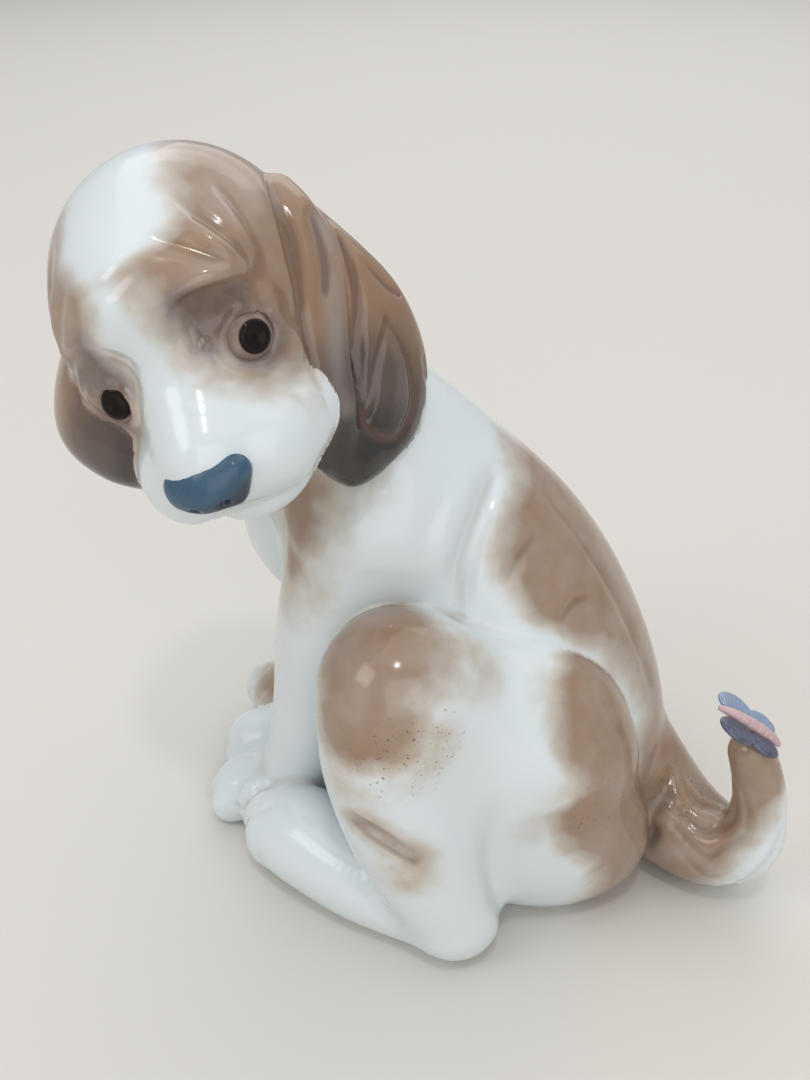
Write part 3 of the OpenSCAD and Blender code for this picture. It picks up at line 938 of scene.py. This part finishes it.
def painted_porcelain():
    """White porcelain, soft brown patches fading through ochre, creases darker with painted shade and pooled
    glaze.
    """
    g = Glaze("painted_porcelain", 0.16, 0.1)
    wander = g.math("ADD", g.math("MULTIPLY", g.noise(10), 2.0), g.math("MULTIPLY", g.noise(2.6, 3), 0.6))
    depth = g.math("ADD", g.mask("brown"), wander)
    mottle = g.math("ADD", g.step(g.noise(8, 3), -1.3, 0.9, 0.2), 0.78)
    cover = g.math("MULTIPLY", g.step(depth, -2.2, 3.4), mottle)
    thin = g.step(g.math("ADD", g.mask("wash"), wander), -3.5, 4.5)
    halo = g.math("MULTIPLY", g.step(depth, -3.6, -0.4, 0.45), g.step(depth, 2.6, 0.2))
    halo = g.math("MAXIMUM", halo, g.math("MULTIPLY", thin, g.step(g.noise(6, 3), -1.4, 1.2, 0.75)))
    brown = g.blend(g.step(g.noise(14), -1, 1), TAUPE, ROSE)
    brown = g.blend(g.step(g.noise(3.2, 4), -0.2, 1.6, 0.3), brown, OCHRE)
    # painted shade in the creases of the brown, where the glaze also pools
    brown = g.blend(g.step(g.mask("crease"), 0.05, 0.5, 0.75), brown, SHADE_AND_POOL_BROWN)
    # painted highlight on the ridges of the brown, where the glaze is also thin
    brown = g.blend(g.step(g.mask("crease"), -0.3, -1.0, 0.15), brown, HIGHLIGHT_AND_THIN_BROWN)
    # painted shade in the eye sockets, the near hock's folds, the root of the tail and along the near ear's
    # root
    brown = g.blend(g.step(g.mask("dark"), 0.0, 0.9, 0.92), brown, SHADE_BROWN)
    white = g.blend(g.step(g.noise(20), -1, 1, 0.5), WHITE, COOL_WHITE)
    # painted shade in the creases of the white, where the glaze also pools
    white = g.blend(g.step(g.mask("crease"), 0.25, 1.0, 0.5), white, SHADE_AND_POOL_WHITE)
    base = g.blend(halo, white, HALO)
    base = g.blend(cover, base, brown)
    stain = g.math("MULTIPLY", g.mask("ochre"), g.step(g.noise(4, 3), -0.9, 0.8))
    base = g.blend(g.math("MULTIPLY", stain, 0.5), base, OCHRE)
    dots = g.math("MULTIPLY", g.step(g.noise(0.7, 1), 0.45, 0.7), g.mask("specks"))
    base = g.blend(g.math("MULTIPLY", dots, 0.7), base, UMBER)
    return g.colour(base)


def ear_glaze():
    """Brown at the root, a pale band down the flap, and dusky blue-grey at the tip."""
    g = Glaze("ear_glaze", 0.16)
    brown = g.blend(g.step(g.noise(10), -1, 1), TAUPE, ROSE)
    streak = g.noise(3.5, 3, (1, 1, 0.35))
    shade = g.math("ADD", g.mask("shade"), g.math("MULTIPLY", streak, 0.10))
    base = g.blend(g.step(shade, 0.02, 0.55, 0.9), brown, ASH)
    base = g.blend(g.step(shade, 0.6, 1.0, 0.8), base, INK)
    band = g.math("MULTIPLY", g.mask("pale"), g.step(streak, -1.4, 0.6, 0.7))
    base = g.blend(band, base, PALE_ASH)
    # painted shade in the ear's creases
    base = g.blend(g.step(g.mask("crease"), 0.1, 0.8, 0.6), base, SHADE_BROWN)
    # painted highlight on the ear's ridges
    base = g.blend(g.step(g.mask("crease"), -0.25, -0.8, 0.35), base, PALE_ASH)
    return g.colour(base)


def eye_glaze():
    """A taupe eyeball with a brown-edged black pupil, low in shine so that the pupil stays dark."""
    g = Glaze("eye_glaze", 0.2, 0.0)
    g.shader.inputs["Specular IOR Level"].default_value = 0.12
    base = g.blend(g.step(g.noise(3), -1, 1), (0.30, 0.235, 0.205, 1), (0.20, 0.14, 0.115, 1))
    base = g.blend(g.step(g.mask("pupil"), 0.05, 0.6), base, (0.09, 0.05, 0.035, 1))
    return g.colour(g.blend(g.step(g.mask("pupil"), 0.35, 0.9), base, (0.012, 0.009, 0.008, 1)))


def nose_glaze():
    """Mottled blue, darker underneath."""
    g = Glaze("nose_glaze", 0.28, 0.0)
    base = g.blend(g.step(g.noise(4, 3), -1, 1.2), (0.03, 0.08, 0.135, 1), (0.06, 0.125, 0.195, 1))
    return g.colour(g.blend(g.mask("under"), base, (0.035, 0.05, 0.075, 1)))


def butterfly_glaze(name, light, deep):
    """A pastel glaze that drifts between two colours."""
    g = Glaze(name, 0.22)
    return g.colour(g.blend(g.step(g.noise(3, 2), -1.1, 1.1), light, deep))


# ---------- small pieces
EYE_R = 3.8 * UNIT  # the eyeball's radius, in mm
PUPIL_R = 2.9  # the radius of the ball that dishes the pupil
GAZE = {1: (0.70, 0.70, 0.25), -1: (0.80, -0.05, 0.52)}  # where each eye looks, 1 is the left one


def eye_centre(s):
    """The middle of an eyeball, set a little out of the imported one; s is 1 for the left eye."""
    push = (1.2, 0.5, 2.3) if s > 0 else (2.0, 0.7, 2.0)
    return middle("eye_left" if s > 0 else "eye_right") + on_head(*push) - SKULL


def eye_piece(s):
    """An eyeball with a dished pupil."""
    at = eye_centre(s)
    gaze = unit(np.array(GAZE[s])) @ HEAD_AXES

    def work(clay):
        ball(clay, at, (EYE_R / UNIT,) * 3, 0)
        ball(clay, at + gaze * (EYE_R + 1.9), (PUPIL_R,) * 3, 0.5, hollow=True)

    def masks(points):
        q = points - at
        off = np.linalg.norm(q - (q @ gaze)[:, None] * gaze, axis=1)
        return {"pupil": (1 - smoothstep(2.35, 2.8, off)) * (q @ gaze > 0)}
    return sculpt("eyeball_left" if s > 0 else "eyeball_right", at - EYE_R, at + EYE_R, 0.2, work, masks)


def nose_piece():
    """The nose pad: wide above, narrow below, with two nostrils."""
    at = middle("nose")

    def to(forward, left, up):
        return at + on_head(forward, left, up) - SKULL

    def work(clay):
        limb(clay, [to(-1.2, -4.6, 1.3), to(-0.2, 0, 1.5), to(-0.6, 4.4, 0.4)], [2.1, 2.6, 2.3], k=0)
        limb(clay, [to(0.4, -4.2, 0.4), to(1.2, -0.8, -0.6), to(0.8, 2.6, -1.9)], [2.0, 2.3, 2.1], k=2)
        limb(clay, [to(-0.6, 4.8, 0.2), to(0.6, 3.2, -1.8)], [2.2, 2.0], k=2)
        ball(clay, to(0.4, -0.2, 0), (3.4, 4.6, 2.8), 2, HEAD_AXES)
        for s in (1, -1):
            nostril = to(3.4, 2.4 * s - 0.4, -0.9 - 0.4 * s)
            ball(clay, nostril, (0.9, 0.8, 0.5), 0.8, HEAD_AXES, hollow=True)

    def masks(points):
        f, l, w = ((points - at) @ HEAD_AXES.T / UNIT).T
        return {"under": smoothstep(0.6, -1.2, w - 0.12 * f + 0.5)}
    return sculpt("nose_pad", at - 10, at + 10, 0.25, work, masks)


DIP = math.radians(32)
FLY_AXES = np.array([[math.cos(DIP), 0, -math.sin(DIP)], [0, 1, 0], [math.sin(DIP), 0, math.cos(DIP)]])


def on_fly(x, y, z):
    """A point in the butterfly's frame: x along its body to the tail end, z up."""
    return middle("butterfly_body") + np.array([x, y, z], float) * UNIT @ FLY_AXES


def fly_body():
    """The body, with rings pressed across it."""
    def work(clay):
        spine = ((-6.6, 0.7), (-4, 1.0), (-1, 1.1), (2, 1.1), (5, 0.9), (6.8, 0.5))
        limb(clay, [on_fly(x, 0, z) for x, z in spine], [0.6, 0.95, 1.15, 1.2, 1.0, 0.6], k=0)
        for x in (-2.6, -0.6, 1.2, 2.8, 4.2):
            ring = [on_fly(x, 1.2, 1.4), on_fly(x, 0, 2.2), on_fly(x, -1.2, 1.4)]
            press(clay, ring, 0.22, 0.16, taper=False)
    return sculpt("butterfly_trunk", on_fly(0, 0, 0) - 9, on_fly(0, 0, 0) + 9, 0.15, work)


def fly_wing(name, s, x, size):
    """A curved petal with flutes that run out from the body. s is 1 for the right wing."""
    droop = math.radians(4 if s < 0 else -8)
    out = np.array([0, s * math.cos(droop), -math.sin(droop)])
    axes = np.array([[1, 0, 0], out, np.cross([1, 0, 0], out)]) @ FLY_AXES
    root = on_fly(x, 0.7 * s, 0.4)
    reach = size * 0.74

    def work(clay):
        centre = root + axes[1] * reach * UNIT
        ball(clay, centre, (size * 1.08, reach, 1.0), 0, axes)
        ball(clay, centre + axes[2] * s * 5.2 * UNIT, (5.4, 5.4, 4.6), 0.5, axes, hollow=True)
        for k in (-2, -1, 0, 1, 2):
            tip = centre + axes[0] * k * size * 0.3 + axes[1] * reach * 0.6
            for face in (1, -1):
                flute = [root + axes[0] * k * 0.4, (root + tip) / 2 + axes[0] * k * 0.25, tip]
                press(clay, [p + axes[2] * face * 0.6 for p in flute], 0.28, 0.22, taper=False)
    return sculpt(name, root - 10, root + 10, 0.2, work)


# ---------- stage
def stage():
    floor = bpy.data.meshes.new("floor")
    half = 2.0
    corners = [(-half, -half, 0), (half, -half, 0), (half, half, 0), (-half, half, 0)]
    floor.from_pydata(corners, [], [(0, 1, 2, 3)])
    material = bpy.data.materials.new("pale_floor")
    material.use_nodes = True
    shader = material.node_tree.nodes["Principled BSDF"]
    shader.inputs["Base Color"].default_value = (0.68, 0.655, 0.61, 1)
    shader.inputs["Roughness"].default_value = 0.9
    floor.materials.append(material)
    new_object("floor", floor)


def camera():
    """The view from the figure's left and above, where its head turns to."""
    data = bpy.data.cameras.new("camera")
    cam = new_object("camera", data)
    data.lens = 38.6
    data.sensor_width = 36
    data.clip_start = 0.01
    cam.location = Vector(seat(-3.2, -194.5, 179.2)) * MM
    cam.rotation_euler = (math.radians(60), 0, math.radians(7))
    bpy.context.scene.camera = cam


def light(name, at, size, power, aim):
    """A square softbox at a place in metres, turned towards aim."""
    data = bpy.data.lights.new(name, "AREA")
    data.size = size
    data.energy = power
    obj = new_object(name, data)
    obj.location = at
    obj.rotation_euler = (Vector(aim) - Vector(at)).to_track_quat("-Z", "Y").to_euler()


def lights():
    """Soft light from above, a fill beside the camera and small lamps for the highlights."""
    aim = Vector(seat(-10, 0, 60)) * MM
    light("overhead", (0.0, 0.35, 1.3), 2.2, 11, aim)
    light("fill", (0.35, -1.15, 0.55), 1.2, 5.4, aim)
    light("backdrop", (0.0, 1.8, 1.1), 1.6, 7, Vector((0, 1.2, 0)))
    light("window", (-0.8, -0.6, 0.8), 0.5, 2.2, aim)
    light("ceiling_lamp", (0.03, -0.4, 0.95), 0.07, 1.0, aim)
    world = bpy.data.worlds.new("studio")
    world.use_nodes = True
    glow = world.node_tree.nodes["Background"]
    glow.inputs["Color"].default_value = (0.97, 0.98, 1, 1)
    glow.inputs["Strength"].default_value = 0.45
    bpy.context.scene.world = world
    bpy.context.scene.view_settings.view_transform = "Standard"


# ---------- the whole figure
def hand_over(obj, node, material):
    """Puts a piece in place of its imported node, with its material."""
    obj.data.materials.append(material)
    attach(obj, "root")
    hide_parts(node)


def butterfly():
    """The body and the four wings; the wings nearer the camera are darker with painted shade."""
    pink = butterfly_glaze("pink_glaze", (0.62, 0.43, 0.42, 1), (0.5, 0.34, 0.36, 1))
    hand_over(fly_body(), "butterfly_body", pink)
    sky = butterfly_glaze("sky_glaze", (0.19, 0.31, 0.44, 1), (0.27, 0.30, 0.43, 1))
    # the near wings get a darker blue as painted shade
    near_shade_blue = butterfly_glaze("shaded_blue_glaze", (0.045, 0.05, 0.075, 1), (0.11, 0.12, 0.19, 1))
    for pair, x, size in (("forewing", -3.0, 3.6), ("hindwing", 3.0, 3.2)):
        for side, s, blue in (("left", -1, near_shade_blue), ("right", 1, sky)):
            node = f"{pair}_{side}"
            hand_over(fly_wing(node + "_petal", s, x, size), node, blue)


def figure():
    """All the pieces of the figurine."""
    groups = castings()
    made = part_skin(groups, model_clay(groups))
    porcelain = painted_porcelain()
    ear = ear_glaze()
    for name, obj in made.items():
        if name.startswith("ear"):
            hand_over(obj, name, ear)
        else:
            hand_over(obj, name, porcelain)
    eye = eye_glaze()
    for side, s in (("left", 1), ("right", -1)):
        hand_over(eye_piece(s), "eye_" + side, eye)
    hand_over(nose_piece(), "nose", nose_glaze())
    butterfly()


figure()
stage()
camera()
lights()
